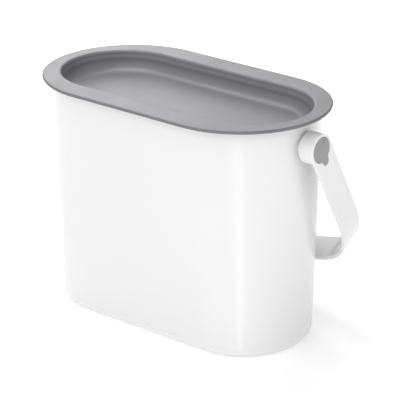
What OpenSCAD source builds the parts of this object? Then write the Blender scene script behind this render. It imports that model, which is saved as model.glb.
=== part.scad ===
// Countertop compost caddy: a tapered bucket, a lift-off lid that is also a tray,
// and a strap handle that swings on keyed pins.
// Origin: centre of the base, on the surface that it stands on.
// +X runs along the long side, -Y is the front, +Z is up. All sizes are in millimetres.

/* [Bucket] */
// Length of the bucket over its rim
rim_l = 252.8; // [230:0.2:280]
// Depth of the bucket over its rim, from front to back
rim_w = 135.8; // [120:0.2:150]
// Height of the rim above the surface that the bucket stands on
rim_h = 204.4; // [184:0.2:230]
// How far each end leans in from rim to base
end_draft = 3.7; // [1:0.1:8]
// How far the front and the back each lean in from rim to base
side_draft = 9.9; // [2:0.1:14]
// Thickness of the bucket's wall
wall = 2.2; // [1.8:0.1:2.6]
// Thickness of the bucket's floor
floor_t = 2.8; // [2:0.1:5]
// Radius of the rounded edge round the base
base_r = 11.2; // [5:0.1:16]

/* [Lid] */
// How far the flange reaches past the rim, all round
overhang = 8.6; // [6:0.1:10.4]
// Thickness of the flange
flange_t = 2.8; // [2.4:0.1:4]
// Radius of the flange's rounded edge
flange_r = 1.1; // [0.4:0.1:1.2]
// How far the tray's opening lies inside the rim's outer edge at the two ends
tray_end_in = 2.6; // [2.4:0.1:10]
// How far the tray's opening lies inside the rim's outer edge along the front and the back
tray_side_in = 12.6; // [8:0.1:20]
// Depth of the tray below the flange's top
tray_depth = 16.5; // [14:0.5:17.5]
// Radius of the rounded lip between the flange and the tray's wall
lip_r = 2.8; // [2:0.1:3.4]
// How far the tray's wall leans in on its way down
tray_draft = 1.4; // [0.4:0.1:3]
// Radius of the hollow round the tray's floor
tray_r = 10.5; // [9:0.1:12]
// Thickness of the tray's wall and floor
tray_t = 1.8; // [1.4:0.1:2.2]
// Height of the skirt that centres the lid inside the rim
skirt_h = 7; // [4:0.5:12]
// Thickness of the skirt
skirt_t = 1.6; // [1.2:0.1:2]
// Gap between the skirt and the inside of the rim
skirt_gap = 0.8; // [0.6:0.1:1.1]

/* [Lid seal] */
// Width of the seal
seal_w = 3; // [2.6:0.1:3.4]
// Thickness of the seal
seal_t = 1.4; // [1.2:0.1:1.6]
// How far the seal stands out of its groove, which is also the gap between flange and rim
seal_proud = 0.3; // [0.2:0.05:0.5]
// Gap between the seal and the sides of its groove
seal_gap = 0.1; // [0.05:0.05:0.2]

/* [Handle] */
// How far a hub's outer face stands off the bucket's end wall
hub_stand = 16.2; // [14.6:0.1:20]
// How far a hub's face stands proud of the strap at the pivot
hub_proud = 0.2; // [0.1:0.05:0.4]
// Height from the pivot up to the rim
pivot_drop = 21.2; // [20:0.1:30]
// Radius of a hub, which is half the strap's width there
hub_r = 13.35; // [12:0.05:14]
// Gap between a hub and its bush
hub_gap = 0.3; // [0.2:0.05:0.6]
// Thickness of the strap along its arms
strap_t = 2.6; // [2:0.1:3.4]
// Thickness of the strap in the middle of the grip
grip_t = 4.6; // [3:0.1:6]
// Width of the strap at the grip
grip_w = 24.2; // [18:0.1:26]
// Straight length of an arm below its pivot
arm_l = 80; // [70:0.5:95]
// How far an arm leans in from upright, in degrees
arm_lean = 0; // [0:0.1:2.4]
// Radius where an arm begins to turn in
shoulder_r = 80; // [60:1:95]
// Direction of the outline at the end of that turn, in degrees from upright
shoulder_turn = 18; // [8:1:28]
// Radius of the long bend from the shoulder to the grip
bend_r = 51.7; // [40:0.1:70]
// Direction of the outline at the start of the grip, in degrees from upright
bend_turn = 69.8; // [60:0.1:80]
// Gap between the resting grip and the back of the bucket
rest_gap = 0.5; // [0.3:0.1:2]

/* [Pivot] */
// Radius of a pin
pin_r = 5; // [4:0.1:5.6]
// Radius of a pin's round head
head_r = 11; // [9:0.1:11.5]
// Thickness of a pin's head
head_t = 1.5; // [1:0.1:1.8]
// How far a head lies below the outer face of its hub
head_sunk = 0.4; // [0.1:0.1:0.5]
// Gap between a head and the edge of its seat
head_gap = 0.12; // [0.05:0.01:0.3]
// Radius of the lug that keys a head to its arm
lug_r = 3.8; // [2.5:0.1:5]
// Distance from the pivot to the centre of the lug's round end
lug_reach = 12.7; // [9:0.1:14]
// Radius of the small dimple in a head
dimple_r = 1.9; // [1:0.1:2.4]
// Distance from the pivot to the dimple
dimple_reach = 8; // [5:0.1:8.4]
// Direction of the dimple, in degrees round from the lug
dimple_turn = 129; // [100:1:160]
// Depth of the dimple
dimple_d = 0.5; // [0.2:0.1:0.8]
// Gap between a pin and its bush, all round
running_gap = 0.05; // [0.03:0.01:0.1]
// Gap round a part that is fixed in a bore
fit_gap = 0.03; // [0.02:0.01:0.06]
// Thickness of a bush's wall
bush_t = 1.6; // [1.2:0.1:2]
// Thickness of a bush's flange
bush_flange_t = 1; // [0.8:0.1:1.2]
// How far a bush's flange reaches past its sleeve
bush_flange_w = 3; // [2:0.1:3.5]
// Length of the boss that holds a bush
boss_l = 8; // [6.5:0.5:9]
// Thickness of the boss round its bush
boss_t = 3; // [2:0.1:3.6]
// How far a boss's outer face stands off the bucket's end wall
pad_h = 1.1; // [0.8:0.1:1.6]
// Thickness of a retaining ring
ring_t = 1; // [0.8:0.1:1.4]
// Outer radius of a retaining ring
ring_r = 8; // [7.4:0.1:8.6]
// Width of a retaining ring's mouth, as a share of its bore
ring_mouth = 0.75; // [0.6:0.05:0.85]
// Depth of the groove that a retaining ring sits in
groove_d = 0.8; // [0.5:0.1:1.2]
// Length of pin beyond its retaining ring
pin_tip = 1.5; // [1:0.1:3]
// Free play of a retaining ring along its pin
ring_play = 0.15; // [0.1:0.05:0.3]

/* [Hidden] */

white = [0.95, 0.95, 0.95];
grey = [0.6, 0.59, 0.61];
pale_grey = [0.75, 0.75, 0.76];
steel = [0.7, 0.7, 0.72];
// Overlap of a cut with the face that it opens, so that no skin is left
eps = 0.5;
// Thickness of the slices that a hull is drawn through
slice = 0.01;

// ---- plan outlines: two half circles joined by straight sides ----
// Each has a straight half length and the radius of its ends.

rim_s = (rim_l - rim_w) / 2;
rim_a = rim_w / 2;
lid_a = rim_a + overhang;
tray_a = rim_a - tray_side_in;
tray_s = rim_s + tray_side_in - tray_end_in;

lid_z = rim_h + seal_proud + flange_t;
pivot_z = rim_h - pivot_drop;

// Share of the way from base to rim
function up(z) = z / rim_h;
// Half depth of the bucket outside, at a height
function half_w(z) = rim_a - side_draft * (1 - up(z));
// Half length of the bucket outside, at a height
function half_l(z) = rim_s + rim_a - end_draft * (1 - up(z));
// Distance from the middle to the centre of an end's round, at a height
function end_s(z) = half_l(z) - half_w(z);
// Half depth of the bucket outside, at a place along its length and a height.
// Past the bucket's ends there is nothing to reach, so the answer lies far to the front.
function wall_y(x, z) =
    let (over = max(abs(x) - end_s(z), 0), w = half_w(z))
    over >= w ? -rim_l : sqrt(w * w - over * over);

module stadium(s, r) {
    square([2 * s, 2 * r], center = true);
    for (side = [-1, 1])
        translate([side * s, 0])
            circle(r = r, $fn = 96);
}

module stadium_ring(s, r_out, r_in) {
    difference() {
        stadium(s, r_out);
        stadium(s, r_in);
    }
}

// Sweeps a half profile, drawn with its distance from the middle line as x and its height as y,
// round both ends and along both sides.
module stadium_sweep(s) {
    for (side = [0, 180])
        rotate([0, 0, side])
            translate([s, 0, 0])
                rotate([0, 0, -90])
                    rotate_extrude(angle = 180, $fn = 96)
                        children();
    translate([-s, 0, 0])
        rotate([90, 0, 90])
            linear_extrude(2 * s) {
                children();
                mirror([1, 0])
                    children();
            }
}

// Points along an arc, from one direction to another
function arc(c, r, from, to, n) =
    [for (i = [0:n]) let (a = from + (to - from) * i / n) c + r * [cos(a), sin(a)]];

// ---- bucket ----

// One slice of the bucket's shape: inset from the outer face, at a height
module bucket_slice(inset, z) {
    r = half_w(z) - inset;
    for (side = [-1, 1])
        translate([side * end_s(z), 0, z])
            cylinder(r = r, h = slice, $fn = 64);
}

// The bucket's shape from its base to its rim, moved in by a wall and up by a floor
module bucket_form(inset, bottom, round_r, top) {
    hull() {
        for (a = [0:15:90])
            bucket_slice(inset + round_r * (1 - sin(a)), bottom + round_r * (1 - cos(a)));
        bucket_slice(inset, top - slice);
    }
}

// Places along X, outwards from the middle: a boss's inner and outer face, a hub's inner and
// outer face
pad_x = half_l(pivot_z) + pad_h;
boss_x = pad_x - boss_l;
hub_in_x = pad_x + bush_flange_t + hub_gap;
hub_x = half_l(pivot_z) + hub_stand;
hub_l = hub_x - hub_in_x;

bush_r = pin_r + running_gap + bush_t;
bore_r = bush_r + fit_gap;
boss_r = bore_r + boss_t;

module at_pivot(side) {
    mirror([side < 0 ? 1 : 0, 0, 0])
        translate([0, 0, pivot_z])
            rotate([0, 90, 0])
                children();
}

module bucket() {
    color(white)
        difference() {
            union() {
                difference() {
                    bucket_form(0, 0, base_r, rim_h);
                    bucket_form(wall, floor_t, base_r - wall, rim_h + eps);
                }
                for (side = [-1, 1])
                    at_pivot(side)
                        translate([0, 0, boss_x])
                            cylinder(r = boss_r, h = boss_l, $fn = 64);
            }
            for (side = [-1, 1])
                at_pivot(side)
                    translate([0, 0, boss_x - eps])
                        cylinder(r = bore_r, h = boss_l + 2 * eps, $fn = 64);
        }
}

// ---- lid ----

// Half profile of the flange, with rounded edges
function flange_profile() =
    let (c = lid_a - flange_r)
    concat(
        [[0, 0]],
        arc([c, flange_r], flange_r, -90, 0, 4),
        arc([c, flange_t - flange_r], flange_r, 0, 90, 4),
        [[0, flange_t]]
    );

// Half profile of the tray's hollow, moved out by t and ending at a height above the flange's top
function tray_profile(t, top) =
    let (wall_top = tray_a - lip_r + t, wall_foot = wall_top - tray_draft, floor_z = -tray_depth - t,
         r = tray_r + t)
    concat(
        [[0, floor_z]],
        arc([wall_foot - r, floor_z + r], r, -90, 0, 10),
        [[wall_top, -lip_r]],
        [[wall_top, top], [0, top]]
    );

// The rounded lip, cut away between the flange's top and the tray's wall
function lip_profile() =
    concat(
        [[0, -lip_r]],
        arc([tray_a, -lip_r], lip_r, 180, 90, 5),
        [[tray_a, eps], [0, eps]]
    );

skirt_r = rim_a - wall - skirt_gap;
seal_mid = rim_a - wall / 2;

module lid() {
    color(grey)
        translate([0, 0, lid_z])
            difference() {
                union() {
                    translate([0, 0, -flange_t])
                        stadium_sweep(rim_s)
                            polygon(flange_profile());
                    stadium_sweep(tray_s)
                        polygon(tray_profile(tray_t, -flange_t / 2));
                    translate([0, 0, -flange_t - skirt_h])
                        linear_extrude(skirt_h + flange_t / 2)
                            stadium_ring(rim_s, skirt_r, skirt_r - skirt_t);
                }
                stadium_sweep(tray_s)
                    polygon(tray_profile(0, eps));
                stadium_sweep(tray_s)
                    polygon(lip_profile());
                translate([0, 0, -flange_t - eps])
                    linear_extrude(seal_t - seal_proud + eps)
                        stadium_ring(rim_s, seal_mid + seal_w / 2 + seal_gap, seal_mid - seal_w / 2 - seal_gap);
            }
}

module lid_seal() {
    color(pale_grey)
        translate([0, 0, rim_h])
            linear_extrude(seal_t)
                stadium_ring(rim_s, seal_mid + seal_w / 2, seal_mid - seal_w / 2);
}

// ---- handle ----

// Part of the outline of the strap's outer face. Each point is
// [x, distance from the pivot, direction that the face looks in].
function strap_arc(c, r, from, to, n) =
    [for (i = [1:n]) let (a = from + (to - from) * i / n) [c[0] + r * cos(a), c[1] + r * sin(a), a]];

// From a hub down the arm, round the shoulder and the long bend to the middle of the crowned grip
strap_x = hub_x - hub_proud;
arm_end = [strap_x - arm_l * tan(arm_lean), arm_l];
shoulder_c = arm_end - shoulder_r * [cos(arm_lean), sin(arm_lean)];
bend_c = shoulder_c + (shoulder_r - bend_r) * [cos(shoulder_turn), sin(shoulder_turn)];
grip_start = bend_c + bend_r * [cos(bend_turn), sin(bend_turn)];
crown_r = grip_start[0] / cos(bend_turn);
crown_c = [0, grip_start[1] - crown_r * sin(bend_turn)];
handle_reach = crown_c[1] + crown_r;

strap_path = concat(
    [[strap_x, 0, arm_lean], [arm_end[0], arm_end[1], arm_lean]],
    strap_arc(shoulder_c, shoulder_r, arm_lean, shoulder_turn, 5),
    strap_arc(bend_c, bend_r, shoulder_turn, bend_turn, 9),
    strap_arc(crown_c, crown_r, bend_turn, 90, 6)
);

// The strap thickens steadily as it turns from the arm into the grip
function strap_thick(a) = strap_t + (grip_t - strap_t) * (a - arm_lean) / (90 - arm_lean);
strap_out = [for (p = strap_path) [p[0], p[1]]];
strap_in = [for (p = strap_path) let (t = strap_thick(p[2])) [p[0] - t * cos(p[2]), p[1] - t * sin(p[2])]];
function flip(pts) = [for (p = pts) [-p[0], p[1]]];
function backwards(pts) = [for (i = [len(pts) - 1:-1:0]) pts[i]];

// Half width of the strap at a distance from the pivot
function strap_half(d) = hub_r + (grip_w / 2 - hub_r) * max(d, 0) / handle_reach;

// Least gap between the strap's inner edge and the bucket with the handle hanging at an angle from
// straight down
function gap_at(a) =
    min([for (p = strap_in)
        let (w = strap_half(p[1]),
             y = p[1] * sin(a) - w * cos(a),
             z = pivot_z - p[1] * cos(a) - w * sin(a))
        y - wall_y(p[0], z)]);
// Angle at which that gap is the resting gap, found by halving
function rest_angle(lo, hi, n) =
    let (mid = (lo + hi) / 2)
    n == 0 ? mid : gap_at(mid) < rest_gap ? rest_angle(mid, hi, n - 1) : rest_angle(lo, mid, n - 1);
handle_rest = rest_angle(10, 80, 20);

// Turns a piece that is drawn with its arm straight down to the resting handle
module hung() {
    translate([0, 0, pivot_z])
        rotate([handle_rest, 0, 0])
            children();
}

// Outline of a pin's head: a disc and a lug that points down its arm, grown by a gap
module head_outline(gap) {
    circle(r = head_r + gap, $fn = 64);
    translate([0, -lug_reach])
        circle(r = lug_r + gap, $fn = 48);
    translate([-lug_r - gap, -lug_reach])
        square([2 * (lug_r + gap), lug_reach]);
}

// Stands on a hub's axis on one side, with Z outwards and the arm towards -Y
module on_hub(side) {
    mirror([side < 0 ? 1 : 0, 0, 0])
        rotate([90, 0, 90])
            children();
}

module strap_sheet() {
    polygon(concat(strap_out, backwards(flip(strap_out)), flip(strap_in), backwards(strap_in)));
}

module strap() {
    intersection() {
        rotate([-90, 0, 0])
            translate([0, 0, -hub_r])
                linear_extrude(2 * hub_r)
                    strap_sheet();
        rotate([90, 0, 90])
            translate([0, 0, -hub_x - eps])
                linear_extrude(2 * (hub_x + eps))
                    polygon([
                        [-hub_r, eps],
                        [-grip_w / 2, -handle_reach],
                        [-grip_w / 2, -handle_reach - eps],
                        [grip_w / 2, -handle_reach - eps],
                        [grip_w / 2, -handle_reach],
                        [hub_r, eps]
                    ]);
    }
}

module handle() {
    seat_x = hub_x - head_sunk - head_t;
    color(white)
        hung()
            difference() {
                union() {
                    strap();
                    for (side = [-1, 1])
                        on_hub(side)
                            translate([0, 0, hub_in_x])
                                cylinder(r = hub_r, h = hub_l, $fn = 64);
                }
                for (side = [-1, 1])
                    on_hub(side) {
                        translate([0, 0, seat_x])
                            linear_extrude(head_sunk + head_t + eps)
                                head_outline(head_gap);
                        translate([0, 0, hub_in_x - eps])
                            cylinder(r = pin_r + fit_gap, h = hub_l + 2 * eps, $fn = 64);
                    }
            }
}

// ---- pivots ----

module pivot_pin(side) {
    ring_x = boss_x - ring_play - ring_t;
    tip_x = ring_x - ring_play - pin_tip;
    head_x = hub_x - head_sunk - head_t;
    color(grey)
        hung()
            on_hub(side)
                difference() {
                    union() {
                        translate([0, 0, tip_x])
                            cylinder(r = pin_r, h = head_x - tip_x + head_t / 2, $fn = 64);
                        translate([0, 0, head_x])
                            linear_extrude(head_t)
                                head_outline(0);
                    }
                    translate([0, 0, ring_x - ring_play])
                        difference() {
                            cylinder(r = pin_r + eps, h = ring_t + 2 * ring_play, $fn = 64);
                            translate([0, 0, -eps])
                                cylinder(r = pin_r - groove_d, h = ring_t + 2 * ring_play + 2 * eps, $fn = 64);
                        }
                    rotate([0, 0, dimple_turn])
                        translate([0, -dimple_reach, head_x + head_t - dimple_d])
                            cylinder(r = dimple_r, h = dimple_d + eps, $fn = 32);
                }
}

module pivot_bush(side) {
    color(pale_grey)
        at_pivot(side)
            difference() {
                union() {
                    translate([0, 0, boss_x])
                        cylinder(r = bush_r, h = boss_l, $fn = 64);
                    translate([0, 0, pad_x])
                        cylinder(r = bush_r + bush_flange_w, h = bush_flange_t, $fn = 64);
                }
                translate([0, 0, boss_x - eps])
                    cylinder(r = pin_r + running_gap, h = boss_l + bush_flange_t + 2 * eps, $fn = 64);
            }
}

module retaining_ring(side) {
    bore = pin_r - groove_d + fit_gap;
    mouth = 2 * ring_mouth * bore;
    color(steel)
        hung()
            on_hub(side)
                translate([0, 0, boss_x - ring_play - ring_t])
                    linear_extrude(ring_t)
                        difference() {
                            circle(r = ring_r, $fn = 64);
                            circle(r = bore, $fn = 64);
                            translate([-mouth / 2, 0])
                                square([mouth, ring_r + eps]);
                        }
}

module pivot_pin_right() {
    pivot_pin(1);
}

module pivot_pin_left() {
    pivot_pin(-1);
}

module pivot_bush_right() {
    pivot_bush(1);
}

module pivot_bush_left() {
    pivot_bush(-1);
}

module retaining_ring_right() {
    retaining_ring(1);
}

module retaining_ring_left() {
    retaining_ring(-1);
}

bucket();
lid();
lid_seal();
handle();
pivot_pin_right();
pivot_pin_left();
pivot_bush_right();
pivot_bush_left();
retaining_ring_right();
retaining_ring_left();
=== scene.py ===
"""Looks of the compost caddy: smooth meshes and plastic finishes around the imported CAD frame."""

import math

import bmesh
import bpy
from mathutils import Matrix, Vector
from mathutils.geometry import tessellate_polygon


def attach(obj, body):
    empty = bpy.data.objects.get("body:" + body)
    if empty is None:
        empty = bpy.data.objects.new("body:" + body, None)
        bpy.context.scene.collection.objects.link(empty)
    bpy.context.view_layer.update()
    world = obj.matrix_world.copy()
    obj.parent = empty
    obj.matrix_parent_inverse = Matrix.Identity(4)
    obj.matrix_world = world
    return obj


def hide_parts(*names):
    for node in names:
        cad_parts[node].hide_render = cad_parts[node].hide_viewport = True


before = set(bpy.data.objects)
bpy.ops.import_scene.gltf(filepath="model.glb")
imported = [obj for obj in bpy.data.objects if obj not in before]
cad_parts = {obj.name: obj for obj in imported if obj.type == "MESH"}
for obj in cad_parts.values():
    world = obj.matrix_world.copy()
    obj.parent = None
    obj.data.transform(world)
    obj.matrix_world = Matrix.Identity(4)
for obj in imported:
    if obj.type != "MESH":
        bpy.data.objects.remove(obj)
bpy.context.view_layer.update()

MM = 0.001
# Distance in metres within which vertices are joined
WELD = 2e-7
# Heights in metres of the plastics' grain and of their rubbed marks
GRAIN_H, SCUFF_H = 0.00004, 0.00002

# ---- sizes of the CAD part, in millimetres ----
RIM_L, RIM_W, RIM_H = 252.8, 135.8, 204.4
END_DRAFT, SIDE_DRAFT = 3.7, 9.9
WALL, FLOOR_T, BASE_R = 2.2, 2.8, 11.2
OVERHANG, FLANGE_T, FLANGE_R = 8.6, 2.8, 1.1
TRAY_END_IN, TRAY_SIDE_IN, TRAY_DEPTH = 2.6, 12.6, 16.5
LIP_R, TRAY_DRAFT, TRAY_R, TRAY_T = 2.8, 1.4, 10.5, 1.8
SKIRT_H, SKIRT_T, SKIRT_GAP = 7.0, 1.6, 0.8
SEAL_W, SEAL_T, SEAL_PROUD, SEAL_GAP = 3.0, 1.4, 0.3, 0.1
HUB_R, STRAP_T, GRIP_T, GRIP_W = 13.35, 2.6, 4.6, 24.2
ARM_L, ARM_LEAN = 80.0, 0.0
SHOULDER_R, SHOULDER_TURN, BEND_R, BEND_TURN = 80.0, 18.0, 51.7, 69.8
PIN_R, HEAD_R, HEAD_T, HEAD_SUNK, HEAD_GAP = 5.0, 11.0, 1.5, 0.4, 0.12
LUG_R, LUG_REACH = 3.8, 12.7
DIMPLE_R, DIMPLE_REACH, DIMPLE_TURN, DIMPLE_D = 1.9, 8.0, 129.0, 0.5
RUN_GAP, FIT_GAP = 0.05, 0.03
BUSH_T, BUSH_FLANGE_T, BUSH_FLANGE_W = 1.6, 1.0, 3.0
BOSS_L, BOSS_T, PAD_H, HUB_GAP, HUB_STAND = 8.0, 3.0, 1.1, 0.3, 16.2
RING_T, RING_R, RING_MOUTH, GROOVE_D, PIN_TIP, RING_PLAY = 1.0, 8.0, 0.75, 0.8, 1.5, 0.15
HANDLE_REST = math.radians(29.687)

RIM_S, RIM_A = (RIM_L - RIM_W) / 2, RIM_W / 2
LID_A = RIM_A + OVERHANG
TRAY_A = RIM_A - TRAY_SIDE_IN
TRAY_S = RIM_S + TRAY_SIDE_IN - TRAY_END_IN
LID_Z = RIM_H + SEAL_PROUD + FLANGE_T
PIVOT_Z = 183.2


def half_w(z):
    return RIM_A - SIDE_DRAFT * (1 - z / RIM_H)


def half_l(z):
    return RIM_S + RIM_A - END_DRAFT * (1 - z / RIM_H)


def end_s(z):
    return half_l(z) - half_w(z)


PAD_X = half_l(PIVOT_Z) + PAD_H
BOSS_X = PAD_X - BOSS_L
HUB_IN_X = PAD_X + BUSH_FLANGE_T + HUB_GAP
HUB_X = half_l(PIVOT_Z) + HUB_STAND
BUSH_R = PIN_R + RUN_GAP + BUSH_T
BORE_R = BUSH_R + FIT_GAP
BOSS_R = BORE_R + BOSS_T


# ---- mesh helpers ----
class Build:
    """Vertices and faces of one piece, in millimetres."""

    def __init__(self):
        self.verts, self.faces = [], []

    def add(self, points):
        start = len(self.verts)
        self.verts += [tuple(p) for p in points]
        return list(range(start, len(self.verts)))

    def loft(self, loops, cap_first=False, cap_last=False):
        """Joins closed loops of equal length."""
        rows = [self.add(loop) for loop in loops]
        for a, b in zip(rows, rows[1:]):
            for i in range(len(a)):
                j = (i + 1) % len(a)
                self.faces.append((a[i], a[j], b[j], b[i]))
        if cap_first:
            self.faces.append(tuple(rows[0]))
        if cap_last:
            self.faces.append(tuple(rows[-1]))
        return rows

    def fill(self, *rings):
        """A flat face between an outline and the holes in it."""
        flat = [i for ring in rings for i in ring]
        loops = [[Vector(self.verts[i]) for i in ring] for ring in rings]
        self.faces += [tuple(flat[k] for k in t) for t in tessellate_polygon(loops)]

    def place(self, change):
        self.verts = [tuple(change(Vector(v))) for v in self.verts]

    def take(self, other, change):
        """Adds another build's faces and its vertices, each changed on the way."""
        start = len(self.verts)
        self.faces += [tuple(i + start for i in face) for face in other.faces]
        self.verts += [change(*v) for v in other.verts]


def arc(n, start, end):
    """Angles in radians from start to end, which are in degrees."""
    return [math.radians(start + (end - start) * i / n) for i in range(n + 1)]


def circle(x, r, n, y=0, z=0):
    """Closed loop of n points in a plane square to the X axis."""
    return [(x, y + r * math.cos(t), z + r * math.sin(t)) for t in arc(n, 0, 360)[:-1]]


def stadium(s, r, z, n=44, m=12):
    """Closed loop of two half circles of radius r, at s on either side, and the lines between them."""
    pts = [(s + r * math.cos(t), r * math.sin(t), z) for t in arc(n, -90, 90)]
    pts += [(s - 2 * s * i / m, r, z) for i in range(1, m)]
    pts += [(-s + r * math.cos(t), r * math.sin(t), z) for t in arc(n, 90, 270)]
    pts += [(-s + 2 * s * i / m, -r, z) for i in range(1, m)]
    return pts


def lathe(build, profile, n=96):
    """Turns a closed profile of (x, r) points round the X axis."""
    loops = [circle(x, r, n) for x, r in profile]
    build.loft(loops + [loops[0]])


def soft_box(x0, x1, r0, r1, b, n=4):
    """A closed (x, r) rectangle with rounded corners."""
    pts = []
    for cx, cr, start in (
        (x1 - b, r1 - b, 90),
        (x1 - b, r0 + b, 0),
        (x0 + b, r0 + b, -90),
        (x0 + b, r1 - b, -180),
    ):
        pts += [(cx + b * math.cos(t), cr + b * math.sin(t)) for t in arc(n, start, start - 90)]
    return pts


def new_object(name, build):
    """Scene object with a build's mesh, in metres."""
    mesh = bpy.data.meshes.new(name)
    mesh.from_pydata([[c * MM for c in v] for v in build.verts], [], build.faces)
    obj = bpy.data.objects.new(name, mesh)
    bpy.context.scene.collection.objects.link(obj)
    return obj


def finish_piece(name, build, material, body=None, nodes=(), sharp=32, cut=None):
    """Joins, cuts and shades a build. With a body, it also rides on it and replaces its nodes."""
    obj = new_object(name, build)
    mesh = obj.data
    bm = bmesh.new()
    bm.from_mesh(mesh)
    bmesh.ops.remove_doubles(bm, verts=bm.verts, dist=WELD)
    bmesh.ops.recalc_face_normals(bm, faces=bm.faces)
    bm.to_mesh(mesh)
    bm.free()
    if cut:
        mod = obj.modifiers.new("cut", "BOOLEAN")
        mod.operation, mod.solver, mod.object = "DIFFERENCE", "EXACT", cut
        bpy.context.view_layer.update()
        graph = bpy.context.evaluated_depsgraph_get()
        mesh = bpy.data.meshes.new_from_object(obj.evaluated_get(graph))
        obj.modifiers.clear()
        obj.data = mesh
    bm = bmesh.new()
    bm.from_mesh(mesh)
    for f in bm.faces:
        f.smooth = True
    for e in bm.edges:
        if e.is_manifold and e.calc_face_angle(0) > math.radians(sharp):
            e.smooth = False
    bm.to_mesh(mesh)
    bm.free()
    mesh.materials.clear()
    mesh.materials.append(material)
    if body:
        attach(obj, body)
        if nodes:
            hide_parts(*nodes)
    return obj


# ---- node helpers ----
def maths(tree, kind, a, b):
    """Output of a maths node, where b is a number or another output."""
    node = tree.nodes.new("ShaderNodeMath")
    node.operation = kind
    tree.links.new(a, node.inputs[0])
    if isinstance(b, (int, float)):
        node.inputs[1].default_value = b
    else:
        tree.links.new(b, node.inputs[1])
    return node.outputs["Value"]


def ramp(tree, level, low, high, first, last):
    """Output that goes from first to last as the level goes from low to high."""
    node = tree.nodes.new("ShaderNodeMapRange")
    tree.links.new(level, node.inputs["Value"])
    for name, value in (("From Min", low), ("From Max", high), ("To Min", first), ("To Max", last)):
        node.inputs[name].default_value = value
    return node.outputs["Result"]


# ---- materials ----
def plastic(name, color, rough, grain, bump, tint=0.02, spec=0.5, scuff=0.0):
    """Moulded plastic: a fine grain, slow shifts of tone and sheen, and faint rubbed marks.

    The grain is the noise's scale, bump and scuff are strengths, and tint is a share of the colour.
    """
    mat = bpy.data.materials.new(name)
    mat.use_nodes = True
    tree = mat.node_tree
    nodes, links = tree.nodes, tree.links
    bsdf = nodes["Principled BSDF"]
    bsdf.inputs["Specular IOR Level"].default_value = spec
    coord = nodes.new("ShaderNodeTexCoord")

    def noise(scale, detail, rough_=0.5):
        n = nodes.new("ShaderNodeTexNoise")
        n.inputs["Scale"].default_value = scale
        n.inputs["Detail"].default_value = detail
        n.inputs["Roughness"].default_value = rough_
        links.new(coord.outputs["Object"], n.inputs["Vector"])
        return n

    # Most of a noise's values lie between these two
    low, high = 0.3, 0.7
    slow = noise(9, 2)
    tones = nodes.new("ShaderNodeValToRGB")
    ends = tones.color_ramp.elements
    ends[0].position = low
    ends[1].position = high
    ends[0].color = [c * (1 - tint) for c in color] + [1]
    ends[1].color = [min(c * (1 + tint), 1) for c in color] + [1]
    links.new(slow.outputs["Fac"], tones.inputs["Fac"])
    links.new(tones.outputs["Color"], bsdf.inputs["Base Color"])

    sheen = noise(34, 3)
    uneven = ramp(tree, sheen.outputs["Fac"], low, high, rough * 0.93, rough * 1.07)
    links.new(uneven, bsdf.inputs["Roughness"])

    fine = noise(grain, 2, 0.6)
    bump_node = nodes.new("ShaderNodeBump")
    bump_node.inputs["Strength"].default_value = bump
    bump_node.inputs["Distance"].default_value = GRAIN_H
    links.new(fine.outputs["Fac"], bump_node.inputs["Height"])
    normal = bump_node.outputs["Normal"]
    if scuff:
        stretch = nodes.new("ShaderNodeMapping")
        stretch.inputs["Scale"].default_value = (260, 260, 22)
        links.new(coord.outputs["Object"], stretch.inputs["Vector"])
        marks = nodes.new("ShaderNodeTexNoise")
        marks.inputs["Scale"].default_value = 1
        marks.inputs["Detail"].default_value = 3
        links.new(stretch.outputs["Vector"], marks.inputs["Vector"])
        scratch = nodes.new("ShaderNodeBump")
        scratch.inputs["Strength"].default_value = scuff
        scratch.inputs["Distance"].default_value = SCUFF_H
        # Only the noise's peaks leave a mark
        links.new(ramp(tree, marks.outputs["Fac"], 0.66, 0.74, 0, 1), scratch.inputs["Height"])
        links.new(normal, scratch.inputs["Normal"])
        normal = scratch.outputs["Normal"]
    links.new(normal, bsdf.inputs["Normal"])
    return mat


def brushed(name, color, rough):
    """Stamped spring steel: the plastics' grain and shifts of sheen, on metal."""
    mat = plastic(name, color, rough, 900, 0.1)
    mat.node_tree.nodes["Principled BSDF"].inputs["Metallic"].default_value = 1.0
    return mat


WHITE = plastic("white_satin_plastic", (0.79, 0.79, 0.795), 0.2, 1900, 0.10, 0.006, 0.5, 0.05)
GREY = plastic("grey_matte_plastic", (0.18, 0.176, 0.187), 0.42, 2300, 0.22, 0.02, 0.4, 0.08)
CAP = plastic("pin_grey_plastic", (0.29, 0.29, 0.295), 0.5, 2300, 0.2, 0.02, 0.5)
BUSH = plastic("bush_plastic", (0.55, 0.55, 0.57), 0.38, 1500, 0.08, 0.015, 0.5)
RUBBER = plastic("seal_rubber", (0.24, 0.24, 0.255), 0.62, 1200, 0.25, 0.03, 0.35)
STEEL = brushed("ring_steel", (0.6, 0.6, 0.62), 0.32)


# ---- bucket ----
def bore_tool():
    """A round bar along the pivots' axis, past both ends of the bucket."""
    b = Build()
    b.loft([circle(x, BORE_R, 96, z=PIVOT_Z) for x in (-140, 140)], True, True)
    return new_object("bore_tool", b)


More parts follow.
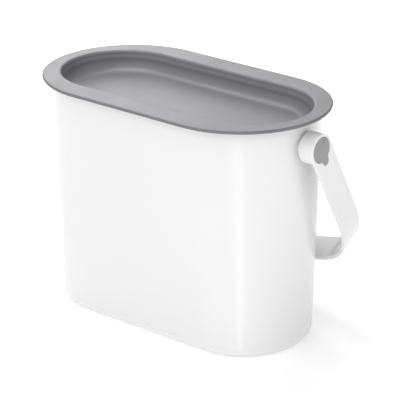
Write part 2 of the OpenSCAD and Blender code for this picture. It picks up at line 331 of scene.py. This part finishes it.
def make_bucket():
    b = Build()
    loops = []
    # How far the first and last loops, which carry the flat caps, lie inside the base's curves
    cap_in = 3

    def at(inset, z):
        loops.append(stadium(end_s(z), half_w(z) - inset, z))

    at(BASE_R + cap_in, 0)
    for t in arc(12, 0, 90):
        at(BASE_R * (1 - math.sin(t)), BASE_R * (1 - math.cos(t)))
    rim_r = 0.9
    steps = 24
    for i in range(1, steps + 1):
        at(0, BASE_R + (RIM_H - rim_r - BASE_R) * i / steps)
    for t in arc(5, 0, 90)[1:]:
        at(rim_r * (1 - math.cos(t)), RIM_H - rim_r + rim_r * math.sin(t))
    for t in arc(5, 90, 0):
        at(WALL - rim_r * (1 - math.cos(t)), RIM_H - rim_r + rim_r * math.sin(t))
    in_r = BASE_R - WALL
    low = FLOOR_T + in_r
    for i in range(1, steps + 1):
        at(WALL, RIM_H - rim_r + (low - RIM_H + rim_r) * i / steps)
    for t in arc(10, 90, 0)[1:]:
        at(WALL + in_r * (1 - math.sin(t)), FLOOR_T + in_r * (1 - math.cos(t)))
    at(WALL + in_r + cap_in, FLOOR_T)
    b.loft(loops, True, True)
    tool = bore_tool()
    shell = finish_piece("bucket_shell", b, WHITE, cut=tool)
    bpy.data.objects.remove(tool)
    bosses, one = Build(), Build()
    lathe(one, soft_box(BOSS_X, PAD_X, BORE_R, BOSS_R, 0.35))
    for side in (1, -1):
        bosses.take(one, lambda x, y, z: (side * x, y, z + PIVOT_Z))
    ring = finish_piece("bucket_bosses", bosses, WHITE)
    bm = bmesh.new()
    bm.from_mesh(shell.data)
    bm.from_mesh(ring.data)
    bm.to_mesh(shell.data)
    bm.free()
    bpy.data.objects.remove(ring)
    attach(shell, "bin")
    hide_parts("bucket")


# ---- lid ----
def make_lid():
    b = Build()
    loops = []
    # How far the first and last loops lie inside the tray's curves
    cap_in = 4
    # How far the flange's flat faces start from its curves
    flat_in = 0.8
    # Chamfer of the seal's groove and radius of the skirt's lower edges
    chamfer, skirt_r = 0.15, 0.5

    def at(s, r, z):
        loops.append(stadium(s, r, LID_Z + z))

    wall_top = TRAY_A - LIP_R
    wall_foot = wall_top - TRAY_DRAFT
    foot_z = -TRAY_DEPTH + TRAY_R
    wall_h = TRAY_DEPTH - TRAY_R - LIP_R
    at(TRAY_S, wall_foot - TRAY_R - cap_in, -TRAY_DEPTH)
    for t in arc(12, -90, 0):
        at(TRAY_S, wall_foot - TRAY_R + TRAY_R * math.cos(t), foot_z + TRAY_R * math.sin(t))
    for i in range(1, 3):
        at(TRAY_S, wall_foot + TRAY_DRAFT * i / 3, foot_z + wall_h * i / 3)
    for t in arc(8, 180, 90):
        at(TRAY_S, TRAY_A + LIP_R * math.cos(t), -LIP_R + LIP_R * math.sin(t))
    at(TRAY_S, TRAY_A + flat_in, 0)
    c = LID_A - FLANGE_R
    at(RIM_S, c - flat_in, 0)
    for t in arc(6, 90, 0):
        at(RIM_S, c + FLANGE_R * math.cos(t), -FLANGE_R + FLANGE_R * math.sin(t))
    for t in arc(6, 0, -90):
        at(RIM_S, c + FLANGE_R * math.cos(t), -FLANGE_T + FLANGE_R + FLANGE_R * math.sin(t))
    under = -FLANGE_T
    mid = RIM_A - WALL / 2
    groove = SEAL_T - SEAL_PROUD
    out_g, in_g = mid + SEAL_W / 2 + SEAL_GAP, mid - SEAL_W / 2 - SEAL_GAP
    at(RIM_S, c - flat_in, under)
    at(RIM_S, out_g + chamfer, under)
    at(RIM_S, out_g, under + chamfer)
    at(RIM_S, out_g, under + groove)
    at(RIM_S, in_g, under + groove)
    at(RIM_S, in_g, under)
    skirt = RIM_A - WALL - SKIRT_GAP
    foot = under - SKIRT_H
    at(RIM_S, skirt, under)
    at(RIM_S, skirt, foot + skirt_r)
    edges = ((skirt - skirt_r, arc(4, 0, -90)[1:]), (skirt - SKIRT_T + skirt_r, arc(4, -90, -180)))
    for centre, turn in edges:
        for t in turn:
            at(RIM_S, centre + skirt_r * math.cos(t), foot + skirt_r + skirt_r * math.sin(t))
    at(RIM_S, skirt - SKIRT_T, under)
    out_top = wall_top + TRAY_T
    out_foot, out_r = out_top - TRAY_DRAFT, TRAY_R + TRAY_T
    low = -TRAY_DEPTH - TRAY_T
    at(TRAY_S, out_top, under)
    for t in arc(12, 0, -90):
        at(TRAY_S, out_foot - out_r + out_r * math.cos(t), low + out_r + out_r * math.sin(t))
    at(TRAY_S, out_foot - out_r - cap_in, low)
    b.loft(loops, True, True)
    finish_piece("tray_lid", b, GREY, "lid", ["lid"])


def make_seal():
    b = Build()
    mid = RIM_A - WALL / 2
    pts = soft_box(RIM_H, RIM_H + SEAL_T, mid - SEAL_W / 2, mid + SEAL_W / 2, 0.3, 3)
    loops = [stadium(RIM_S, r, z) for z, r in pts]
    b.loft(loops + [loops[0]])
    finish_piece("rim_seal", b, RUBBER, "lid", ["lid_seal"])


# ---- handle ----
def strap_stations():
    """Right half of the strap's outer face: (x, distance from pivot, facing) each, and its reach."""
    # Where the hub's flat ends, the length over which the strap starts to lean, and how far it has come
    # in by the arm's end, besides ARM_LEAN's share
    flat_end, ease, arm_in = 20.0, 8, 0.2
    arm_end = math.radians(ARM_LEAN)
    arm_x = HUB_X - arm_in - ARM_L * math.tan(arm_end)
    lean = math.atan2(HUB_X - arm_x, ARM_L - flat_end - ease / 2)
    path = [(HUB_X, d, 0.0) for d in (4, 8, 12, 16, flat_end)]
    for i in range(1, 5):
        t = i / 4
        path.append((HUB_X - ease * math.tan(lean) * t * t / 2, flat_end + ease * t, lean * t))
    x0, d0, _ = path[-1]
    for i in range(1, 13):
        t = i / 12
        path.append((x0 + (arm_x - x0) * t, d0 + (ARM_L - d0) * t, lean + (arm_end - lean) * t))

    def turn(c, r, a0, a1, n):
        for a in arc(n, a0, a1)[1:]:
            path.append((c[0] + r * math.cos(a), c[1] + r * math.sin(a), a))

    def along(r, deg):
        return r * math.cos(math.radians(deg)), r * math.sin(math.radians(deg))

    sx, sd = along(SHOULDER_R, ARM_LEAN)
    sc = (arm_x - sx, ARM_L - sd)
    turn(sc, SHOULDER_R, ARM_LEAN, SHOULDER_TURN, 10)
    bx, bd = along(SHOULDER_R - BEND_R, SHOULDER_TURN)
    bc = (sc[0] + bx, sc[1] + bd)
    turn(bc, BEND_R, SHOULDER_TURN, BEND_TURN, 18)
    gx, gd = along(BEND_R, BEND_TURN)
    start = (bc[0] + gx, bc[1] + gd)
    crown = start[0] / math.cos(math.radians(BEND_TURN))
    cc = (0, start[1] - crown * math.sin(math.radians(BEND_TURN)))
    turn(cc, crown, BEND_TURN, 90, 14)
    reach = cc[1] + crown
    return path, reach


def make_handle():
    path, reach = strap_stations()
    caps = arc(16, 0, 90)
    lean = math.radians(ARM_LEAN)

    def thick(a):
        return STRAP_T + (GRIP_T - STRAP_T) * max(a - lean, 0) / (math.pi / 2 - lean)

    def half(d):
        return HUB_R + (GRIP_W / 2 - HUB_R) * max(d, 0) / reach

    def row(inset, depth_of):
        """Points on one side from the right tip to the left tip, at an inset from the outline."""
        pts = []
        for t in caps:
            n = depth_of(STRAP_T, 0)
            pts.append((HUB_X - n, -(HUB_R - inset) * math.cos(t), (HUB_R - inset) * math.sin(t)))
        for x, d, a in path:
            n = depth_of(thick(a), d)
            pts.append((x - n * math.cos(a), d - n * math.sin(a), half(d) - inset))
        left = [(-x, d, w) for x, d, w in pts[:-1]]
        return pts + left[::-1]

    edge = 0.75
    rings = []
    for t in arc(6, 90, 0):
        rings.append((edge * (1 - math.cos(t)), lambda th, d, t=t: edge * (1 - math.sin(t))))
    for t in arc(6, 0, 90):
        rings.append((edge * (1 - math.cos(t)), lambda th, d, t=t: th - edge * (1 - math.sin(t))))

    b = Build()
    loops, last = [], 0
    for inset, depth_of in rings:
        pts = row(inset, depth_of)
        last = len(pts) - 1
        loop = [(x, w, -d) for x, d, w in pts] + [(x, -w, -d) for x, d, w in pts[-2:0:-1]]
        loops.append(loop)
    rows = b.loft(loops)
    total = len(loops[0])

    def partner(i):
        return (total - i) % total

    split = len(caps) - 1 + 5
    for ring, hole_r in ((rows[0], None), (rows[-1], PIN_R + FIT_GAP)):
        for side in (0, 1):
            if side == 0:
                outline = [ring[i] for i in range(0, split + 1)]
                outline += [ring[partner(i)] for i in range(split, 0, -1)]
            else:
                outline = [ring[i] for i in range(last - split, last + 1)]
                outline += [ring[partner(i)] for i in range(last - 1, last - split - 1, -1)]
            sign = 1 if side == 0 else -1
            if hole_r is None:
                hub_seat(b, outline, sign)
            else:
                hole = b.add(circle(sign * (HUB_X - STRAP_T), hole_r, 64))
                b.fill(outline, hole)
        for i in range(split, last - split):
            b.faces.append((ring[i], ring[i + 1], ring[partner(i + 1)], ring[partner(i)]))
    hub = Build()
    lathe(hub, hub_profile())
    for sign in (1, -1):
        b.take(hub, lambda x, y, z: (sign * x, y, z))
    b.place(hang)
    finish_piece("strap_handle", b, WHITE, "handle", ["handle"])


def hub_profile():
    """The hub behind the strap, which it enters a little, and inside whose outline it stays."""
    edge, enters, inside = 0.6, 0.4, 0.012
    x1 = HUB_X - STRAP_T + enters
    out_r, in_r = HUB_R - inside, PIN_R + FIT_GAP
    pts = [(x1, out_r), (x1, in_r), (HUB_IN_X, in_r)]
    for t in arc(5, 0, 90):
        pts.append((HUB_IN_X + edge - edge * math.cos(t), out_r - edge + edge * math.sin(t)))
    return pts


def keyhole(grow, x):
    """Outline of a pin's head: a disc and its lug, joined by small hollows, grown by an amount."""
    r, w, f = HEAD_R, LUG_R, 0.9
    cx, cy = w + f, -math.sqrt((r + f) ** 2 - (w + f) ** 2)
    side = math.degrees(math.atan2(cy, cx))
    disc, lug, bend = r + grow, w + grow, f - grow
    pts = [(disc * math.cos(t), disc * math.sin(t)) for t in arc(72, side, 180 - side)]
    hollow = [(-cx + bend * math.cos(t), cy + bend * math.sin(t)) for t in arc(6, -side, 0)]
    pts += hollow[1:]
    pts += [(lug * math.cos(t), -LUG_REACH + lug * math.sin(t)) for t in arc(20, 180, 360)]
    pts += [(-px, py) for px, py in hollow[::-1]][:-1]
    return [(x, py, pz) for py, pz in pts]


def hub_seat(b, outline, sign):
    """The seat that a pin's head lies in, with a softened edge, and the bore through its floor."""
    soft = 0.3
    loops = []
    for t in arc(4, 90, 0):
        grow = HEAD_GAP + soft * (1 - math.cos(t))
        loops.append(keyhole(grow, HUB_X - soft * (1 - math.sin(t))))
    floor = HUB_X - HEAD_SUNK - HEAD_T
    loops.append(keyhole(HEAD_GAP, floor))
    loops = [[(sign * x, y, z) for x, y, z in loop] for loop in loops]
    rows = b.loft(loops)
    b.fill(outline, rows[0])
    holes = b.loft([circle(sign * x, PIN_R + FIT_GAP, 64) for x in (floor, HUB_X - STRAP_T)])
    b.fill(rows[-1], holes[0])


def hang(v):
    """From the arm hanging straight down to the resting handle."""
    c, s = math.cos(HANDLE_REST), math.sin(HANDLE_REST)
    return Vector((v.x, v.y * c - v.z * s, PIVOT_Z + v.y * s + v.z * c))


# ---- pins, bushes and rings ----
def make_pin(side):
    b = Build()
    top = HUB_X - HEAD_SUNK
    back = top - HEAD_T
    # Softened edges of the head and of the dimple
    soft, lip = 0.3, 0.35
    # The dimple's floor with the small raised spot in it: (radius, height)
    spot = ((DIMPLE_R - 0.1, 0), (1.05, 0), (0.95, 0.2), (0.75, 0.3))
    # Radius at the axis, which isn't 0 so that no face shrinks to a line
    core = 0.02
    # The shaft runs this far into the head, and its tip has a chamfer with a blunted corner
    enters, chamfer, blunt_r, blunt_x = 0.6, 0.5, 0.4, 0.12
    rows = b.loft(
        [keyhole(-soft * (1 - math.cos(t)), top - soft * (1 - math.sin(t))) for t in arc(4, 90, 0)]
        + [keyhole(0, back)]
    )
    turn = math.radians(DIMPLE_TURN)
    centre = (DIMPLE_REACH * math.sin(turn), -DIMPLE_REACH * math.cos(turn))
    levels = [(DIMPLE_R + lip, top)]
    levels += [
        (DIMPLE_R + lip * (1 - math.sin(t)), top - lip * (1 - math.cos(t))) for t in arc(3, 0, 90)[1:]
    ]
    levels += [(r, top - DIMPLE_D + h) for r, h in spot]
    holes = b.loft([circle(x, r, 32, *centre) for r, x in levels], cap_last=True)
    b.fill(rows[0], holes[0])
    b.faces.append(tuple(rows[-1]))
    ring_x = BOSS_X - RING_PLAY - RING_T
    tip = ring_x - RING_PLAY - PIN_TIP
    groove_r = PIN_R - GROOVE_D
    profile = [
        (tip, core), (tip, PIN_R - chamfer - blunt_r),
        (tip + blunt_x, PIN_R - chamfer), (tip + chamfer, PIN_R),
        (ring_x - RING_PLAY, PIN_R), (ring_x - RING_PLAY, groove_r),
        (ring_x + RING_T + RING_PLAY, groove_r), (ring_x + RING_T + RING_PLAY, PIN_R),
        (back + enters, PIN_R), (back + enters, core),
    ]
    lathe(b, profile, 64)
    b.place(lambda v: hang(Vector((side * v.x, v.y, v.z))))
    name = "right" if side > 0 else "left"
    finish_piece("pin_" + name, b, CAP, "handle", ["pivot_pin_" + name])


def make_bush(side):
    b = Build()
    r0, r1, r2 = PIN_R + RUN_GAP, BUSH_R, BUSH_R + BUSH_FLANGE_W
    x1 = PAD_X + BUSH_FLANGE_T
    e = 0.25
    profile = [(BOSS_X, r0 + e), (BOSS_X, r1 - e), (BOSS_X + e, r1), (PAD_X, r1), (PAD_X, r2)]
    profile += [(x1 - e + e * math.sin(t), r2 - e + e * math.cos(t)) for t in arc(4, 0, 90)]
    profile += [(x1 - e + e * math.cos(t), r0 + e - e * math.sin(t)) for t in arc(4, 0, 90)]
    profile += [(BOSS_X + e, r0)]
    lathe(b, profile)
    b.place(lambda v: Vector((side * v.x, v.y, v.z + PIVOT_Z)))
    name = "right" if side > 0 else "left"
    finish_piece("bush_" + name, b, BUSH, "bin", ["pivot_bush_" + name])


def make_ring(side):
    b = Build()
    bore = PIN_R - GROOVE_D + FIT_GAP
    mouth = RING_MOUTH * bore
    x0 = BOSS_X - RING_PLAY - RING_T
    e = 0.12

    def outline(inset):
        ro, ri, m = RING_R - inset, bore + inset, mouth + inset
        a_out = math.degrees(math.asin(m / ro))
        a_in = math.degrees(math.asin(m / ri))
        pts = [(ro * math.sin(t), ro * math.cos(t)) for t in arc(72, a_out, 360 - a_out)]
        pts += [(ri * math.sin(t), ri * math.cos(t)) for t in arc(48, 360 - a_in, a_in)]
        return pts

    loops = [
        [(x, y, z) for y, z in outline(inset)]
        for inset, x in ((e, x0), (0, x0 + e), (0, x0 + RING_T - e), (e, x0 + RING_T))
    ]
    rows = b.loft(loops)
    b.fill(rows[0])
    b.fill(rows[-1])
    b.place(lambda v: hang(Vector((side * v.x, v.y, v.z))))
    name = "right" if side > 0 else "left"
    node = "retaining_ring_" + name
    finish_piece("ring_" + name, b, STEEL, "handle", [node], sharp=25)


make_bucket()
make_lid()
make_seal()
make_handle()
for which in (1, -1):
    make_pin(which)
    make_bush(which)
    make_ring(which)


# ---- floor, light and camera ----
def toward(azimuth, elevation):
    """Unit vector to a place round the caddy: azimuth in degrees from the front towards +X."""
    a, e = math.radians(azimuth), math.radians(elevation)
    return Vector((math.sin(a) * math.cos(e), -math.cos(a) * math.cos(e), math.sin(e)))


def pool(tree, look, direction, power):
    """Soft round pool: the cosine between a look and a direction, raised to a power."""
    dot = tree.nodes.new("ShaderNodeVectorMath")
    dot.operation = "DOT_PRODUCT"
    dot.inputs[1].default_value = direction
    tree.links.new(look, dot.inputs[0])
    return maths(tree, "POWER", maths(tree, "MAXIMUM", dot.outputs["Value"], 0), power)


def make_floor():
    """Pale floor that glows a little, more so far away and in a strip before the bucket."""
    # Half the floor's width, and the point that the bright strip fans out from, in metres
    size, apex = 12, (0.099, -0.054, 0)
    # The strip's direction, as an azimuth in degrees, and how narrow it is
    strip_way, strip_power = 35, 90
    mesh = bpy.data.meshes.new("floor")
    corners = [(x * size, y * size, 0) for x, y in ((-1, -1), (1, -1), (1, 1), (-1, 1))]
    mesh.from_pydata(corners, [], [(0, 1, 2, 3)])
    obj = bpy.data.objects.new("floor", mesh)
    bpy.context.scene.collection.objects.link(obj)
    mat = bpy.data.materials.new("pale_floor")
    mat.use_nodes = True
    tree = mat.node_tree
    bsdf = tree.nodes["Principled BSDF"]
    bsdf.inputs["Base Color"].default_value = (0.9, 0.9, 0.9, 1)
    bsdf.inputs["Roughness"].default_value = 0.9
    bsdf.inputs["Emission Color"].default_value = (1, 1, 1, 1)
    where = tree.nodes.new("ShaderNodeTexCoord").outputs["Object"]
    length = tree.nodes.new("ShaderNodeVectorMath")
    length.operation = "LENGTH"
    tree.links.new(where, length.inputs[0])
    distance = length.outputs["Value"]
    away = tree.nodes.new("ShaderNodeVectorMath")
    away.operation = "SUBTRACT"
    away.inputs[1].default_value = apex
    tree.links.new(where, away.inputs[0])
    look = tree.nodes.new("ShaderNodeVectorMath")
    look.operation = "NORMALIZE"
    tree.links.new(away.outputs["Vector"], look.inputs[0])
    strip = pool(tree, look.outputs["Vector"], toward(strip_way, 0), strip_power)
    # The strip fades out from 0.5 to 0.75 m, and the rest grows brighter from 0.15 to 1.2 m
    strip = maths(tree, "MULTIPLY", strip, ramp(tree, distance, 0.5, 0.75, 2.0, 0))
    glow = maths(tree, "ADD", strip, ramp(tree, distance, 0.15, 1.2, 0.29, 0.85))
    tree.links.new(glow, bsdf.inputs["Emission Strength"])
    mesh.materials.append(mat)


def area_light(name, at, target, size, power):
    data = bpy.data.lights.new(name, "AREA")
    data.shape = "RECTANGLE"
    data.size, data.size_y = size
    data.energy = power
    obj = bpy.data.objects.new(name, data)
    bpy.context.scene.collection.objects.link(obj)
    obj.location = at
    obj.rotation_euler = (Vector(target) - Vector(at)).to_track_quat("-Z", "Y").to_euler()


def make_world(pools):
    """A dark studio with broad pools of soft light: (azimuth, elevation, strength) each."""
    world = bpy.data.worlds.new("studio")
    world.use_nodes = True
    tree = world.node_tree
    look = tree.nodes.new("ShaderNodeTexCoord").outputs["Generated"]
    total = None
    for azimuth, elevation, strength in pools:
        soft = pool(tree, look, toward(azimuth, elevation), POOL_POWER)
        level = maths(tree, "MULTIPLY", soft, strength)
        total = maths(tree, "ADD", total, level) if total else level
    background = tree.nodes["Background"]
    tree.links.new(total, background.inputs["Strength"])
    background.inputs["Color"].default_value = (1, 1, 1, 1)
    return world


# What the panels aim at, in metres
AIM = (0, 0, 0.15)
# Panels: name, place in metres, width and height in metres, power in watts
PANELS = (
    ("top_panel", toward(-60, 80) * 1.2, (0.6, 0.6), 1.5),
    ("right_panel", toward(110, 30) * 1.2, (0.9, 0.9), 2.7),
    ("back_panel", (-0.62, 0.75, 0.62), (0.6, 0.5), 2.3),
    ("left_panel", toward(235, 32), (0.5, 0.5), 0.9),
    ("left_panel_over", (-0.25, 0.12, 0.72), (0.3, 0.3), 1.8),
)
# The studio's pools: azimuth and elevation in degrees, strength; and how narrow they all are
POOLS = ((-6, 8, 0.8), (-51, 8, 0.65), (-21, 48, 0.6), (39, 48, 1.55))
POOL_POWER = 6

make_floor()
for panel, place, size, power in PANELS:
    area_light(panel, place, AIM, size, power)

scene = bpy.context.scene
scene.world = make_world(POOLS)
scene.view_settings.view_transform = "Standard"

# The photo's camera: the view's azimuth and elevation, then its distance from the middle of the lid's
# top and its sideways and upward offsets, in units of UNIT metres; the focal length is in pixels
UNIT = 0.00135
AZ, EL = math.radians(39.0663), math.radians(21.9251)
DIST, FOCAL, OFF_X, OFF_Y = 1295.229, 2088.529, -15.1027, -114.5678
PHOTO_PX, SENSOR = 400, 36
back = Vector((math.sin(AZ) * math.cos(EL), -math.cos(AZ) * math.cos(EL), math.sin(EL)))
right = Vector((math.cos(AZ), math.sin(AZ), 0))
up = back.cross(right)
eye = back * DIST - right * (OFF_X * DIST / FOCAL) + up * (OFF_Y * DIST / FOCAL)
cam = bpy.data.cameras.new("camera")
cam.sensor_width = SENSOR
cam.lens = FOCAL / PHOTO_PX * SENSOR
cam_obj = bpy.data.objects.new("camera", cam)
scene.collection.objects.link(cam_obj)
cam_obj.location = eye * UNIT + Vector((0, 0, LID_Z * MM))
cam_obj.rotation_euler = (-back).to_track_quat("-Z", "Y").to_euler()
scene.camera = cam_obj
